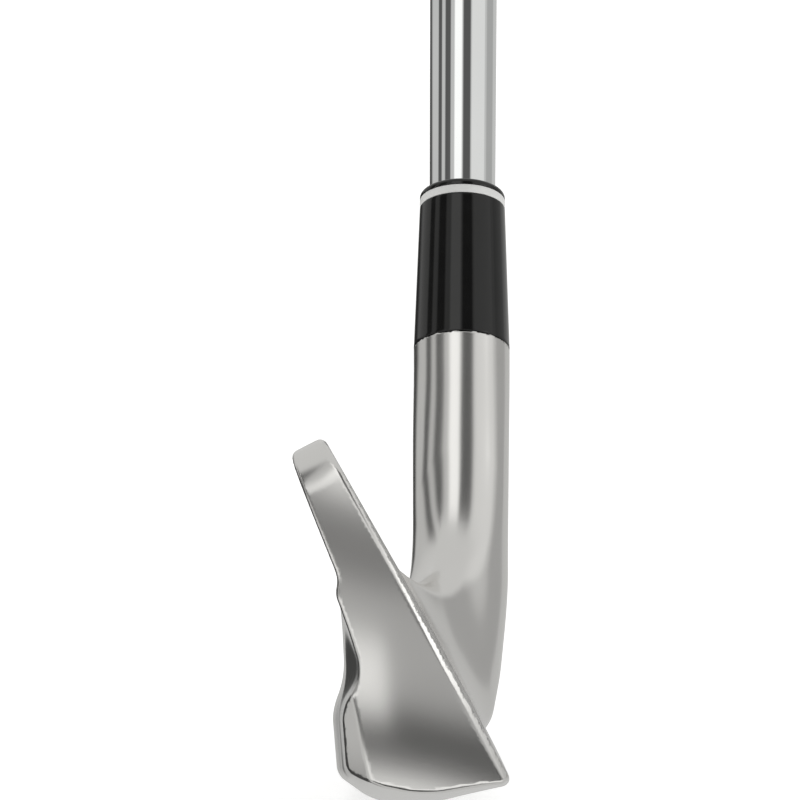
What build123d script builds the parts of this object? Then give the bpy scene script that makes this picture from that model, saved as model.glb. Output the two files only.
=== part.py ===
from build123d import *
import math
import os

# Right-handed 7-iron at address, in millimetres.
# +X points at the target, +Y from toe to heel, +Z up.
# The origin is the lowest point of the sole, where the head rests on the ground.

# Club
LIE = 62.0  # degrees between the shaft and the ground
LOFT = 30.5  # degrees that the face leans back
CLUB_LENGTH = 940.0  # along the shaft axis, from the ground to the butt
AXIS_X = 6.8  # the shaft axis meets the ground here
AXIS_Y = 38.0

# Head
FACE_X = 13.35  # the face plane meets the ground at this x
TOP_LEAN = 26.0  # degrees that the topline falls towards the back
TOE_Y = -40.5
TOE_RADIUS = 61.0
TOE_MID_Z = 24.0
TOE_CORNER_RADIUS = 8.0
TOPLINE_TOE = (-32.0, 53.1)  # y and z on the face plane
TOPLINE_HEEL = (29.0, 27.0)
SOLE_LINE_X = -2.2  # the sole's lowest line runs from toe to heel here
SOLE_FRONT_SLOPE = 0.335
SOLE_REAR_SLOPE = 0.125
TRAILING_X = -8.3
TRAILING_FACET = ((-10.7, -39.1, 10.8), (-0.715, -0.664, -0.21))  # point and outward normal
HEEL_END_Y = 42.0
MUSCLE_TOP = 31.2  # top of the thick lower back, on the toe side
FACE_THICKNESS = 2.6
FACE_STOCK = 1.0  # left in front of the face plane, and milled off
PLATE_MARGIN = 4.0  # from the blade's outline in to the plate's edge
PLATE_LOW = 10.0
PLATE_HEEL_Y = 20.0
PLATE_CORNER = 4.5

BLOCK = 200.0  # larger than the head

# Neck between blade and hosel
PIVOT_Y = 35.5  # the neck turns about this line, parallel to X
PIVOT_Z = 39.4
NECK_INNER_RADIUS = 14.0
NECK_FROM = -104.0  # degrees, from the pivot down into the blade's heel
NECK_ROOT_X = 3.4
NECK_TURN = 1.7  # the rings stand upright and full this many times sooner than the hosel starts
NECK_STEP = 0.12  # the neck's end is this much slimmer than the hosel
NECK_OVERLAP = 2.0  # the neck's end reaches this far into the hosel
HOSEL_FOOT = 0.15  # extra radius of the hosel's lower end

# Cavity, badge and weight
CAVITY_TOE_Y = -29.0
CAVITY_HEEL_Y = 17.0
CAVITY_RIM = 6.0  # width of the rim under the topline
CAVITY_LOW_TOE = 36.0
CAVITY_LOW_HEEL = 21.0
CAVITY_CORNER = 2.4
CAVITY_REACH = 30.0
CHAMBER_TOE_Y = -30.0
CHAMBER_HEEL_Y = 12.0
CHAMBER_STEPS = ((8.0, 20.0, 10.0), (8.0, 30.0, 6.0))  # lowest z, highest z, depth
CHAMBER_HEEL_HIGH = 17.5
CHAMBER_CORNER = 2.5
PAD_THICKNESS = 0.9
BADGE_THICKNESS = 0.8
BADGE_MARGIN = 0.8
WEIGHT_AT = (-4.2, 12.8)  # x and z
WEIGHT_RADIUS = 3.6
WEIGHT_LENGTH = 9.0

# Markings
SCORE_COUNT = 11
SCORE_LOWEST = 12.0
SCORE_SPACING = 2.75
SCORE_TOE_Y = -27.0
SCORE_HEEL_Y = 17.5
SCORE_WIDTH = 0.9
SCORE_DEPTH = 0.4
SCORE_CLEAR = 6.0  # from the topline down to the end of a short groove
NUMBER_AT = (-5.2, -22.0)  # x and y
NUMBER_HEIGHT = 4.4
NUMBER_WIDTH = 2.8
NUMBER_STROKE = 0.8
NUMBER_DEPTH = 0.35

# Hosel
HOSEL_TOP = 63.0  # along the axis, from the ground
HOSEL_RADIUS_TOP = 6.83
HOSEL_RADIUS_NECK = 6.62
NECK_AT = 33.6
BORE_BOTTOM = 33.0
GLUE_GAP = 0.1

# Ferrule
FERRULE_HEIGHT = 24.2
FERRULE_TOP_RADIUS = 6.1
FERRULE_EDGE = 0.7
RING_BELOW_TOP = 1.1
RING_HEIGHT = 1.3
RING_DEPTH = 1.0

# Shaft
TIP_AT = 35.0
TIP_RADIUS = 4.51
TIP_TAPER = 0.00375  # growth of the radius per millimetre
TAPER_END = 170.0
FIRST_STEP = 250.0
STEP_SPACING = 31.75
STEP_COUNT = 14
STEP_LENGTH = 0.8
BUTT_RADIUS = 7.62
TIP_WALL = 1.0
BUTT_WALL = 0.5
PLUG_LENGTH = 18.0
PLUG_FLANGE = 1.4
BAND_AT = 569.0
BAND_LENGTH = 28.0
BAND_THICKNESS = 0.12

# Grip
GRIP_LENGTH = 267.0
GRIP_MOUTH_RADIUS = 9.7
GRIP_BUTT_RADIUS = 13.3
LIP_HEIGHT = 5.0
LIP_STEP = 0.5
TAPE_THICKNESS = 0.25
CAP_THICKNESS = 4.0
CAP_EDGE = 1.3
VENT_RADIUS = 2.0

TAN_LOFT = math.tan(math.radians(LOFT))
SHAFT_PLACE = Pos(AXIS_X, AXIS_Y, 0) * Rot(LIE - 90, 0, 0)
FERRULE_TOP = HOSEL_TOP + FERRULE_HEIGHT
SHAFT_END = CLUB_LENGTH - CAP_THICKNESS
GRIP_START = CLUB_LENGTH - GRIP_LENGTH


def face_x(z, depth=0.0):
    """x of the face plane at height z, or of a plane that lies depth behind it."""
    return FACE_X - depth / math.cos(math.radians(LOFT)) - TAN_LOFT * z


def blend(a, b, t):
    """Smooth step from a to b as t goes from 0 to 1."""
    t = min(1.0, max(0.0, t))
    return a + (b - a) * t * t * (3 - 2 * t)


def camber(y):
    """Height of the sole's lowest line over the ground."""
    if y < 0:
        return y * y / 440 + 0.0045 * max(0.0, -22 - y) ** 2
    return y * y / 400 + 0.012 * max(0.0, y - 28) ** 2


def topline(y):
    """Height of the topline on the face plane."""
    (y0, z0), (y1, z1) = TOPLINE_TOE, TOPLINE_HEEL
    return z0 + (z1 - z0) * (y - y0) / (y1 - y0)


def blade_points(y):
    """The blade's section at y, from the leading edge round the sole and up the back."""
    heel = (y + 28) / 62
    toe = (-26 - y) / 12
    low = camber(y)
    front = FACE_X + FACE_STOCK - SOLE_LINE_X
    lead_z = SOLE_FRONT_SLOPE * front / (1 + SOLE_FRONT_SLOPE * TAN_LOFT)
    trail_x = TRAILING_X + 0.5 * blend(0, 4.6, heel)
    back = blend(0, 4.6, heel)
    shelf_drop = blend(0, 5.5, heel)
    shelf = max(14.0 - shelf_drop, low + 6.0)
    muscle_top = max(shelf + 6.6, min(MUSCLE_TOP, topline(y) - 15))
    rim = topline(y) - 2.6
    return [
        (face_x(lead_z + low) + FACE_STOCK, lead_z + low),
        (SOLE_LINE_X, low),
        (trail_x, low + (SOLE_LINE_X - trail_x) * SOLE_REAR_SLOPE),
        (-13.0 + back, low + 3.7),
        (-14.2 + back, shelf),
        (-12.6 + back + blend(0, 1.3, toe), shelf + 3.6),
        (face_x(muscle_top) - 8.5, muscle_top),
        (face_x(rim) - 5.8, rim),
        (face_x(topline(y) + 6) - 5.2, topline(y) + 6),
        (face_x(topline(y) + 6) + FACE_STOCK, topline(y) + 6),
    ]


def blade_blank():
    """The forged blade before its outline is trimmed, from the toe to inside the neck."""
    sections = []
    for y in (-44, -36, -28, -18, -6, 6, 18, 27, 35, HEEL_END_Y):
        points = blade_points(min(y, 35))
        size = 1 - blend(0, 0.6, (y - 27) / (HEEL_END_Y - 27))
        lift = 0.25 * max(0, y - 27)
        cx, cz = NECK_ROOT_X, 16.0
        corners = [
            Vector(cx + (x - cx) * size, y, cz + lift + (z - cz) * size) for x, z in points
        ]
        sections.append(Face(Wire.make_polygon(corners, close=True)))
    return loft(sections)


def face_plane(lean, depth=0.0):
    """Plane with its x along +Y, leaning back by lean, through the face plane's foot."""
    tilt = math.radians(lean)
    foot = (face_x(0, depth), 0, 0)
    return Plane(origin=foot, x_dir=(0, 1, 0), z_dir=(math.cos(tilt), 0, math.sin(tilt)))


def on_plane(plane, y, z, depth=0.0):
    """The point of the face, depth behind it, at y and z, in the plane's coordinates."""
    local = plane.to_local_coords(Vector(face_x(z, depth), y, z))
    return (local.X, local.Y)


def outline_prism():
    """The blade's outline as seen on the face: round toe, toe corner and straight topline."""
    plane = face_plane(TOP_LEAN)
    centre_y = TOE_Y + TOE_RADIUS
    half = 34.0
    reach = centre_y - math.sqrt(TOE_RADIUS**2 - half**2)
    low_toe = on_plane(plane, reach, TOE_MID_Z - half)
    mid_toe = on_plane(plane, TOE_Y, TOE_MID_Z)
    slope = (TOPLINE_HEEL[1] - TOPLINE_TOE[1]) / (TOPLINE_HEEL[0] - TOPLINE_TOE[0])
    corner_y = centre_y - math.sqrt(TOE_RADIUS**2 - (topline(-37) - TOE_MID_Z) ** 2)
    high_toe = on_plane(plane, corner_y, topline(-37) + slope * (corner_y + 37))
    far = on_plane(plane, 48, topline(48))
    below = on_plane(plane, 48, -14)
    under = on_plane(plane, reach, -14)
    edges = [
        ThreePointArc(low_toe, mid_toe, high_toe),
        Line(high_toe, far),
        Line(far, below),
        Line(below, under),
        Line(under, low_toe),
    ]
    sketch = make_face(edges)
    corner = min(sketch.vertices(), key=lambda v: math.dist((v.X, v.Y), high_toe))
    sketch = fillet(corner, TOE_CORNER_RADIUS)
    return extrude(plane * sketch, amount=60, both=True)


def trailing_facet():
    """Everything outside the flat facet ground on the corner of toe and trailing edge."""
    point, normal = TRAILING_FACET
    slab = Plane(origin=point, z_dir=normal) * Rectangle(BLOCK, BLOCK)
    return extrude(slab, amount=BLOCK / 10)


def behind_face():
    """Everything behind the face plane, which mills the face flat."""
    slab = face_plane(LOFT) * Rectangle(BLOCK, BLOCK)
    return extrude(slab, amount=-BLOCK)


def neck_outer(angle):
    """Distance from the neck's pivot to the heel's outside, at an angle below the horizontal."""
    down, across = -math.sin(angle), math.cos(angle)
    lean = 1 / math.tan(math.radians(LIE))
    side_y = AXIS_Y + HOSEL_RADIUS_NECK / math.sin(math.radians(LIE))
    far_side = (side_y + lean * PIVOT_Z - PIVOT_Y) / (across + lean * down)
    reach = 10.0
    while PIVOT_Z - down * reach > camber(PIVOT_Y + across * reach):
        reach += 0.1
    return min(reach, far_side) if across + lean * down > 0.3 else reach


def neck():
    """The bent neck: leaning rings round a pivot above the topline, up to the hosel."""
    sections = []
    count = 6
    for i in range(count + 1):
        share = i / count
        angle = math.radians(NECK_FROM + (LIE - 90 - NECK_FROM) * share)
        inner = NECK_INNER_RADIUS + NECK_STEP + blend(1.0, 0.0, share)
        outer = neck_outer(angle) - NECK_STEP - blend(1.2, 0.0, share * 2)
        middle = (inner + outer) / 2
        y = PIVOT_Y + math.cos(angle) * middle
        z = PIVOT_Z + math.sin(angle) * middle
        lean = LOFT * blend(1.0, 0.0, share * NECK_TURN)
        half_x = blend(5.6, HOSEL_RADIUS_NECK - NECK_STEP, share * NECK_TURN)
        x = blend(NECK_ROOT_X, AXIS_X, share * NECK_TURN)
        outward = Vector(0, math.cos(angle), math.sin(angle))
        along = Vector(0, -math.sin(angle), math.cos(angle))
        plane = Plane(origin=(x, y, z), x_dir=outward, z_dir=along)
        ring = Ellipse((outer - inner) / 2, half_x)
        sections.append(plane * Rot(0, 0, -lean) * ring)
    return loft(sections)


def shaft_radius(at):
    """Outer radius of the shaft along the axis, steps included."""
    tapered = TIP_RADIUS + TIP_TAPER * (min(at, TAPER_END) - TIP_AT)
    steps = sum(at >= FIRST_STEP + STEP_SPACING * i for i in range(STEP_COUNT))
    rise = (BUTT_RADIUS - (TIP_RADIUS + TIP_TAPER * (TAPER_END - TIP_AT))) / STEP_COUNT
    return tapered + rise * steps


def revolved(points):
    """A solid turned round the shaft axis from (radius, distance along the axis) points."""
    profile = make_face(Polyline(*points, close=True))
    turned = revolve(Plane.XZ * profile, Axis.Z)
    return SHAFT_PLACE * turned


def hosel():
    """The hosel's tapered outside, from the neck to the ferrule."""
    return revolved(
        [
            (0, NECK_AT - NECK_OVERLAP),
            (HOSEL_RADIUS_NECK + HOSEL_FOOT, NECK_AT - NECK_OVERLAP),
            (HOSEL_RADIUS_TOP, HOSEL_TOP),
            (0, HOSEL_TOP),
        ]
    )


def bore():
    """The blind bore for the shaft's tip."""
    return revolved(
        [
            (0, BORE_BOTTOM),
            (shaft_radius(BORE_BOTTOM) + GLUE_GAP, BORE_BOTTOM),
            (shaft_radius(HOSEL_TOP) + GLUE_GAP, HOSEL_TOP),
            (0, HOSEL_TOP),
        ]
    )


def toe_edge(z, margin):
    """y of the blade's round toe at height z, margin inside it."""
    rise = z - TOE_MID_Z
    return TOE_Y + TOE_RADIUS - math.sqrt((TOE_RADIUS - margin) ** 2 - rise**2)


def plate_blank():
    """The slab of the welded face plate, with the blade's round toe and straight topline."""
    plane = face_plane(LOFT)
    high = topline(toe_edge(TOPLINE_TOE[1], PLATE_MARGIN)) - PLATE_MARGIN
    low_toe = on_plane(plane, toe_edge(PLATE_LOW, PLATE_MARGIN), PLATE_LOW)
    mid_toe = on_plane(plane, toe_edge(TOE_MID_Z, PLATE_MARGIN), TOE_MID_Z)
    high_toe = on_plane(plane, toe_edge(high, PLATE_MARGIN), high)
    high_heel = on_plane(plane, PLATE_HEEL_Y, topline(PLATE_HEEL_Y) - PLATE_MARGIN)
    low_heel = on_plane(plane, PLATE_HEEL_Y, PLATE_LOW)
    edges = [
        ThreePointArc(low_toe, mid_toe, high_toe),
        Line(high_toe, high_heel),
        Line(high_heel, low_heel),
        Line(low_heel, low_toe),
    ]
    sketch = make_face(edges)
    sketch = fillet(sketch.vertices(), PLATE_CORNER)
    return extrude(plane * sketch, amount=-FACE_THICKNESS)


def score_lines():
    """The grooves across the face plate, as bars to cut away."""
    plane = face_plane(LOFT)
    (y_toe, z_toe), (y_heel, z_heel) = TOPLINE_TOE, TOPLINE_HEEL
    fall = (z_toe - z_heel) / (y_heel - y_toe)
    bars = []
    for i in range(SCORE_COUNT):
        z = SCORE_LOWEST + SCORE_SPACING * i
        end = min(SCORE_HEEL_Y, y_toe + (z_toe - SCORE_CLEAR - z) / fall)
        centre = on_plane(plane, (SCORE_TOE_Y + end) / 2, z)
        bar = Box(end - SCORE_TOE_Y, SCORE_WIDTH, 2 * SCORE_DEPTH)
        bars.append(plane * Pos(*centre) * bar)
    return bars


def cavity_sketch(depth, inset=0.0):
    """The cavity's outline on the plane at depth behind the face, inset all round."""
    plane = face_plane(LOFT, depth)
    corners = []
    for y, low in ((CAVITY_TOE_Y + inset, CAVITY_LOW_TOE), (CAVITY_HEEL_Y - inset, CAVITY_LOW_HEEL)):
        corners.append((y, low + inset))
        corners.append((y, topline(y) - CAVITY_RIM - inset))
    order = [corners[0], corners[2], corners[3], corners[1]]
    points = [on_plane(plane, y, z, depth) for y, z in order]
    sketch = make_face(Polyline(*points, close=True))
    return plane * fillet(sketch.vertices(), CAVITY_CORNER - inset)


def chamber():
    """The hollow behind the face plate, deeper near the sole than near the cavity."""
    hollow = None
    for low, high, depth in CHAMBER_STEPS:
        plane = face_plane(LOFT, FACE_THICKNESS)
        corners = [(y, z) for y, z in ((CHAMBER_TOE_Y, low), (CHAMBER_HEEL_Y, low))]
        heel_high = min(high, CHAMBER_HEEL_HIGH)
        corners += [(CHAMBER_HEEL_Y, heel_high), (CHAMBER_TOE_Y, high)]
        points = [on_plane(plane, y, z, FACE_THICKNESS) for y, z in corners]
        sketch = fillet(make_face(Polyline(*points, close=True)).vertices(), CHAMBER_CORNER)
        step = extrude(plane * sketch, amount=-(depth - FACE_THICKNESS))
        hollow = step if hollow is None else hollow + step
    return hollow


def toe_weight():
    """The dense slug pressed into the toe end of the hollow."""
    at = Pos(WEIGHT_AT[0], CHAMBER_TOE_Y, WEIGHT_AT[1]) * Rot(90, 0, 0)
    return at * Cylinder(WEIGHT_RADIUS, WEIGHT_LENGTH)


def seven():
    """The outline of a plain 7, centred on its own height and width."""
    half_height = NUMBER_HEIGHT / 2
    half_width = NUMBER_WIDTH / 2
    bar = half_height - NUMBER_STROKE
    foot = -0.4 * half_width
    return make_face(
        Polyline(
            (-half_width, half_height),
            (half_width, half_height),
            (half_width, bar),
            (foot + NUMBER_STROKE, -half_height),
            (foot, -half_height),
            (half_width - NUMBER_STROKE, bar),
            (-half_width, bar),
            close=True,
        )
    )


def sole_number(head):
    """The plain iron number in the sole, as a thin fill of paint."""
    tilt = math.degrees(math.atan(SOLE_REAR_SLOPE))
    x, y = NUMBER_AT
    sole_z = camber(y) + (SOLE_LINE_X - x) * SOLE_REAR_SLOPE
    place = Pos(x, y, sole_z + NUMBER_DEPTH) * Rot(0, tilt, 0)
    return (place * Rot(180, 0, 90) * extrude(seven(), amount=4 * NUMBER_DEPTH)) & head


def head_parts():
    """The forged head and the pieces that sit in it."""
    blade = (blade_blank() & outline_prism() & behind_face()) - trailing_facet()
    head = blade + neck() + hosel() - bore()
    plate = plate_blank() & blade
    cavity = extrude(cavity_sketch(FACE_THICKNESS), amount=-CAVITY_REACH)
    weight = toe_weight()
    head = head - plate - cavity - chamber() - weight
    number = sole_number(head)
    pad_back = FACE_THICKNESS + PAD_THICKNESS
    parts = {
        "head_body": head - number,
        "face_plate": plate - score_lines(),
        "toe_weight": weight,
        "damping_pad": extrude(cavity_sketch(FACE_THICKNESS), amount=-PAD_THICKNESS),
        "cavity_badge": extrude(cavity_sketch(pad_back, BADGE_MARGIN), amount=-BADGE_THICKNESS),
        "sole_number_paint": number,
    }
    return parts


def hosel_parts():
    """The glue round the shaft's tip, the plug in the tip, and the ferrule with its ring."""
    tip = shaft_radius(TIP_AT)
    mouth = shaft_radius(HOSEL_TOP)
    top = shaft_radius(FERRULE_TOP)
    glue = [
        (tip, TIP_AT),
        (shaft_radius(TIP_AT) + GLUE_GAP, TIP_AT),
        (mouth + GLUE_GAP, HOSEL_TOP),
        (mouth, HOSEL_TOP),
    ]
    flange_radius = shaft_radius(BORE_BOTTOM)
    plug_radius = tip - TIP_WALL
    flange_at = TIP_AT - PLUG_FLANGE
    plug = [
        (0, flange_at),
        (flange_radius, flange_at),
        (flange_radius, TIP_AT),
        (plug_radius, TIP_AT),
        (plug_radius, TIP_AT + PLUG_LENGTH),
        (0, TIP_AT + PLUG_LENGTH),
    ]
    ring_high = FERRULE_TOP - RING_BELOW_TOP
    ring_low = ring_high - RING_HEIGHT
    ring_out = FERRULE_TOP_RADIUS
    ring_in = ring_out - RING_DEPTH
    ferrule = [
        (mouth, HOSEL_TOP),
        (HOSEL_RADIUS_TOP, HOSEL_TOP),
        (ring_out, ring_low),
        (ring_in, ring_low),
        (ring_in, ring_high),
        (ring_out, ring_high),
        (ring_out, FERRULE_TOP - FERRULE_EDGE),
        (ring_out - FERRULE_EDGE / 3, FERRULE_TOP - FERRULE_EDGE / 3),
        (ring_out - FERRULE_EDGE, FERRULE_TOP),
        (top, FERRULE_TOP),
    ]
    ring = [(ring_in, ring_low), (ring_out, ring_low), (ring_out, ring_high), (ring_in, ring_high)]
    return {
        "hosel_adhesive": revolved(glue),
        "tip_weight": revolved(plug),
        "ferrule": revolved(ferrule),
        "ferrule_ring": revolved(ring),
    }


def shaft():
    """The stepped steel tube, from the tip in the hosel to the butt in the grip."""
    outer = [(shaft_radius(TIP_AT), TIP_AT), (shaft_radius(TAPER_END), TAPER_END)]
    for i in range(STEP_COUNT):
        at = FIRST_STEP + STEP_SPACING * i
        outer.append((shaft_radius(at - STEP_LENGTH), at - STEP_LENGTH))
        outer.append((shaft_radius(at), at))
    outer.append((BUTT_RADIUS, SHAFT_END))
    inner = [
        (BUTT_RADIUS - BUTT_WALL, SHAFT_END),
        (BUTT_RADIUS - BUTT_WALL, FIRST_STEP + STEP_SPACING * STEP_COUNT),
        (shaft_radius(TAPER_END) - TIP_WALL, TAPER_END),
        (shaft_radius(TIP_AT) - TIP_WALL, TIP_AT + PLUG_LENGTH + 1),
        (shaft_radius(TIP_AT) - TIP_WALL, TIP_AT),
    ]
    return revolved(outer + inner)


def shaft_band():
    """The thin label film round the shaft, between two steps."""
    radius = shaft_radius(BAND_AT)
    end = BAND_AT + BAND_LENGTH
    film = radius + BAND_THICKNESS
    return revolved([(radius, BAND_AT), (film, BAND_AT), (film, end), (radius, end)])


def grip_radius(at):
    """Outer radius of the grip along the axis."""
    share = (at - GRIP_START) / GRIP_LENGTH
    return GRIP_MOUTH_RADIUS + (GRIP_BUTT_RADIUS - GRIP_MOUTH_RADIUS) * share**1.25


def grip_parts():
    """The tape on the shaft, the rubber sleeve over it, and the vented cap on the butt."""
    bed = BUTT_RADIUS + TAPE_THICKNESS
    tape_start = GRIP_START + LIP_HEIGHT
    tape = [
        (BUTT_RADIUS, tape_start),
        (bed, tape_start),
        (bed, SHAFT_END),
        (BUTT_RADIUS, SHAFT_END),
    ]
    outer = [
        (GRIP_MOUTH_RADIUS - LIP_STEP, GRIP_START),
        (GRIP_MOUTH_RADIUS + LIP_STEP, GRIP_START + 1),
        (GRIP_MOUTH_RADIUS + LIP_STEP, GRIP_START + LIP_HEIGHT),
        (GRIP_MOUTH_RADIUS, GRIP_START + LIP_HEIGHT + LIP_STEP),
    ]
    spans = 8
    outer += [
        (grip_radius(at), at)
        for at in (GRIP_START + (SHAFT_END - GRIP_START) * i / spans for i in range(1, spans + 1))
    ]
    inner = [(bed, SHAFT_END), (bed, tape_start), (BUTT_RADIUS, tape_start), (BUTT_RADIUS, GRIP_START)]
    sleeve = revolved(outer + inner)
    edge = grip_radius(SHAFT_END)
    cap = [
        (VENT_RADIUS, SHAFT_END),
        (edge, SHAFT_END),
        (edge, CLUB_LENGTH - CAP_EDGE),
        (edge - CAP_EDGE / 3, CLUB_LENGTH - CAP_EDGE / 3),
        (edge - CAP_EDGE, CLUB_LENGTH),
        (VENT_RADIUS, CLUB_LENGTH),
    ]
    return {"grip_tape": revolved(tape), "grip": sleeve, "grip_cap": revolved(cap)}


os.makedirs("parts", exist_ok=True)
nodes = {**head_parts(), **hosel_parts(), "shaft": shaft(), "shaft_band": shaft_band(), **grip_parts()}
for name, solid in nodes.items():
    export_step(solid, f"parts/{name}.step")
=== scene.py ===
import math

import bpy
import numpy as np
from mathutils import Matrix, Vector


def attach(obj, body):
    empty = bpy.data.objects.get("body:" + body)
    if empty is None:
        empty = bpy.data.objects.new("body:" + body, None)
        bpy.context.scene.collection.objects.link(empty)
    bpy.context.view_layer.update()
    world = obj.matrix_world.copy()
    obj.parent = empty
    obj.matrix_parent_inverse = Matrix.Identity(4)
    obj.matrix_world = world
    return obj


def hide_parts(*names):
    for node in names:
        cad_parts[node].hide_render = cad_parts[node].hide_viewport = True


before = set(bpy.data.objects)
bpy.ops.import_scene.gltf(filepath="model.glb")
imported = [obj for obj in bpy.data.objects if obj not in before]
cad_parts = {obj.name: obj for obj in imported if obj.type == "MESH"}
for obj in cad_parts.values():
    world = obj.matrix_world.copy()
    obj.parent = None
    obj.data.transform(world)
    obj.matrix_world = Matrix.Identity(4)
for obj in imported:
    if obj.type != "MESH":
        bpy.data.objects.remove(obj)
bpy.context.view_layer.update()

MM = 0.001

# The club's driving sizes, in millimetres and degrees. They follow the CAD model, apart from the
# head's neck, facets and edges, the round edge of the end cap and the bore of the shaft.
LIE = 62.0
LOFT = 30.5
AXIS_X = 6.8
AXIS_Y = 38.0
CLUB_LENGTH = 940.0
FACE_X = 13.35
TOP_LEAN = 26.0
TOE_Y = -40.5
TOE_RADIUS = 61.0
TOE_MID_Z = 24.0
TOE_CORNER_RADIUS = 8.0
TOE_CROWN_RADIUS = 42.0
TRAILING_FACET = ((-10.6, -39.1, 10.8), (-0.715, -0.664, -0.21))
NECK_RADIUS = 22.0  # arc that joins the topline to the hosel
NECK_ARC_Y = 25.5
SWEEP_FROM_Y = 24.0
SWEEP_SOFTNESS = 20.0  # how gently the sweep sets in, in square millimetres
RIM_FACE = 0.5  # the normal of the polished chamfer between face and outline
RIM_OUT = 0.866
SOLE_LINE_X = -2.2
RELIEF_FACET = ((0.0, -38.8, 5.0), (0.0, -0.5, -0.866))
TOPLINE_TOE = (-32.0, 53.1)
TOPLINE_HEEL = (29.0, 27.0)
SOLE_FRONT_SLOPE = 0.335
SOLE_REAR_SLOPE = 0.125
TRAILING_X = -8.3
TRAILING_SLOPE = 0.68
MUSCLE_TOP = 31.2
HEEL_TURN_Z = 25.0  # the hosel's line bends back below this height
HEEL_TURN = 2.6
NECK_AT = 33.6
POCKET_FLOOR = 3.4  # how far behind the face the cavity is cut
HOSEL_TOP = 63.0
HOSEL_BORE_RADIUS = 4.72
HOSEL_BORE_BOTTOM = 33.0
HOSEL_RADIUS_TOP = 6.83
HOSEL_RADIUS_NECK = 6.62
FERRULE_HEIGHT = 24.2
FERRULE_TOP = HOSEL_TOP + FERRULE_HEIGHT
FERRULE_TOP_RADIUS = 6.1
RING_BELOW_TOP = 1.1
RING_HEIGHT = 1.3
TIP_AT = 35.0
TIP_RADIUS = 4.51
TIP_TAPER = 0.00375
TAPER_END = 170.0
FIRST_STEP = 250.0
STEP_SPACING = 31.75
STEP_COUNT = 14
STEP_LENGTH = 0.8
BUTT_RADIUS = 7.62
BORE_WALL = 0.5
BAND_AT = 569.0
BAND_LENGTH = 28.0
BAND_THICKNESS = 0.12
GRIP_LENGTH = 267.0
GRIP_MOUTH_RADIUS = 9.7
GRIP_BUTT_RADIUS = 13.3
LIP_HEIGHT = 5.0
LIP_STEP = 0.5
TAPE_THICKNESS = 0.25
CAP_THICKNESS = 4.0
CAP_EDGE = 1.7
VENT_RADIUS = 2.0
CAVITY_TOE_Y = -29.0
CAVITY_HEEL_Y = 17.0
CAVITY_RIM = 6.0
CAVITY_LOW_TOE = 36.0
CAVITY_LOW_HEEL = 21.0
CAVITY_CORNER = 2.4
FACE_THICKNESS = 2.6
PLATE_MARGIN = 4.0
PLATE_LOW = 10.0
PLATE_HEEL_Y = 20.0
SEAT_INSET = 1.1  # the recess for the plate ends this far inside the plate's edge
NUMBER_AT = (-5.2, -22.0)
NUMBER_HEIGHT = 4.4
NUMBER_WIDTH = 2.8
NUMBER_STROKE = 0.8
SHAFT_END = CLUB_LENGTH - CAP_THICKNESS
GRIP_START = CLUB_LENGTH - GRIP_LENGTH

TAN_LOFT = math.tan(math.radians(LOFT))
COS_LOFT = math.cos(math.radians(LOFT))
SIN_LOFT = math.sin(math.radians(LOFT))
AXIS = np.array([0.0, math.cos(math.radians(LIE)), math.sin(math.radians(LIE))])


# ---------------------------------------------------------------- head shape
def blend(a, b, t):
    """Smooth step from a to b as t goes from 0 to 1."""
    t = np.clip(t, 0.0, 1.0)
    return a + (b - a) * t * t * (3 - 2 * t)


def round_max(a, b, radius):
    """Intersection of two solids whose shared edge is rounded."""
    over_a = np.maximum(a + radius, 0)
    over_b = np.maximum(b + radius, 0)
    return np.minimum(np.maximum(a, b), -radius) + np.sqrt(over_a**2 + over_b**2)


def smooth_min(a, b, size):
    """Union of two solids with a fillet."""
    h = np.maximum(size - np.abs(a - b), 0) / size
    return np.minimum(a, b) - h * h * size / 4


def soft_min(a, b, size):
    """Union of two solids with a fillet that runs out without an edge."""
    h = np.maximum(size - np.abs(a - b), 0) / size
    return np.minimum(a, b) - h * h * h * size / 6


def camber(y):
    """Height of the sole's lowest line over the ground."""
    toe_side = y * y / 440 + 0.0045 * np.maximum(0, -22 - y) ** 2
    heel_side = y * y / 400 + 0.012 * np.maximum(0, y - 28) ** 2
    return np.where(y < 0, toe_side, heel_side)


def topline(y):
    """Height of the topline on the face plane."""
    (y0, z0), (y1, z1) = TOPLINE_TOE, TOPLINE_HEEL
    return z0 + (z1 - z0) * (y - y0) / (y1 - y0)


def ridge(y):
    """Height of the topline, with the arc that carries it up into the hosel."""
    fall = (TOPLINE_TOE[1] - TOPLINE_HEEL[1]) / (TOPLINE_HEEL[0] - TOPLINE_TOE[0])
    start = math.atan(fall)
    middle_y = NECK_ARC_Y + NECK_RADIUS * math.sin(start)
    middle_z = topline(NECK_ARC_Y) + NECK_RADIUS * math.cos(start)
    end = NECK_RADIUS * AXIS[2]
    across = np.clip(y - middle_y, NECK_ARC_Y - middle_y, end)
    arc_z = middle_z - np.sqrt(NECK_RADIUS**2 - across**2)
    past = np.clip(y - middle_y - end, 0, 15)
    climb = past * AXIS[2] / AXIS[1] - 0.06 * past**2
    return np.where(y < NECK_ARC_Y, topline(y), arc_z + climb)


def sweep(y, z):
    """How far the heel end of the blade bends forward to the shaft axis."""
    behind = AXIS_X - 1.0 - FACE_X + TAN_LOFT * z
    full = (behind + np.sqrt(behind**2 + SWEEP_SOFTNESS)) / 2
    near = AXIS_Y - HOSEL_RADIUS_NECK + z * AXIS[1] / AXIS[2]
    return blend(0, full, (y - SWEEP_FROM_Y) / (near - SWEEP_FROM_Y))


def plane_under(x, z, x0, z0, slope):
    """Distance below the line through (x0, z0) that rises by slope towards +x."""
    return (z0 + slope * (x - x0) - z) / np.hypot(1, slope)


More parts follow.
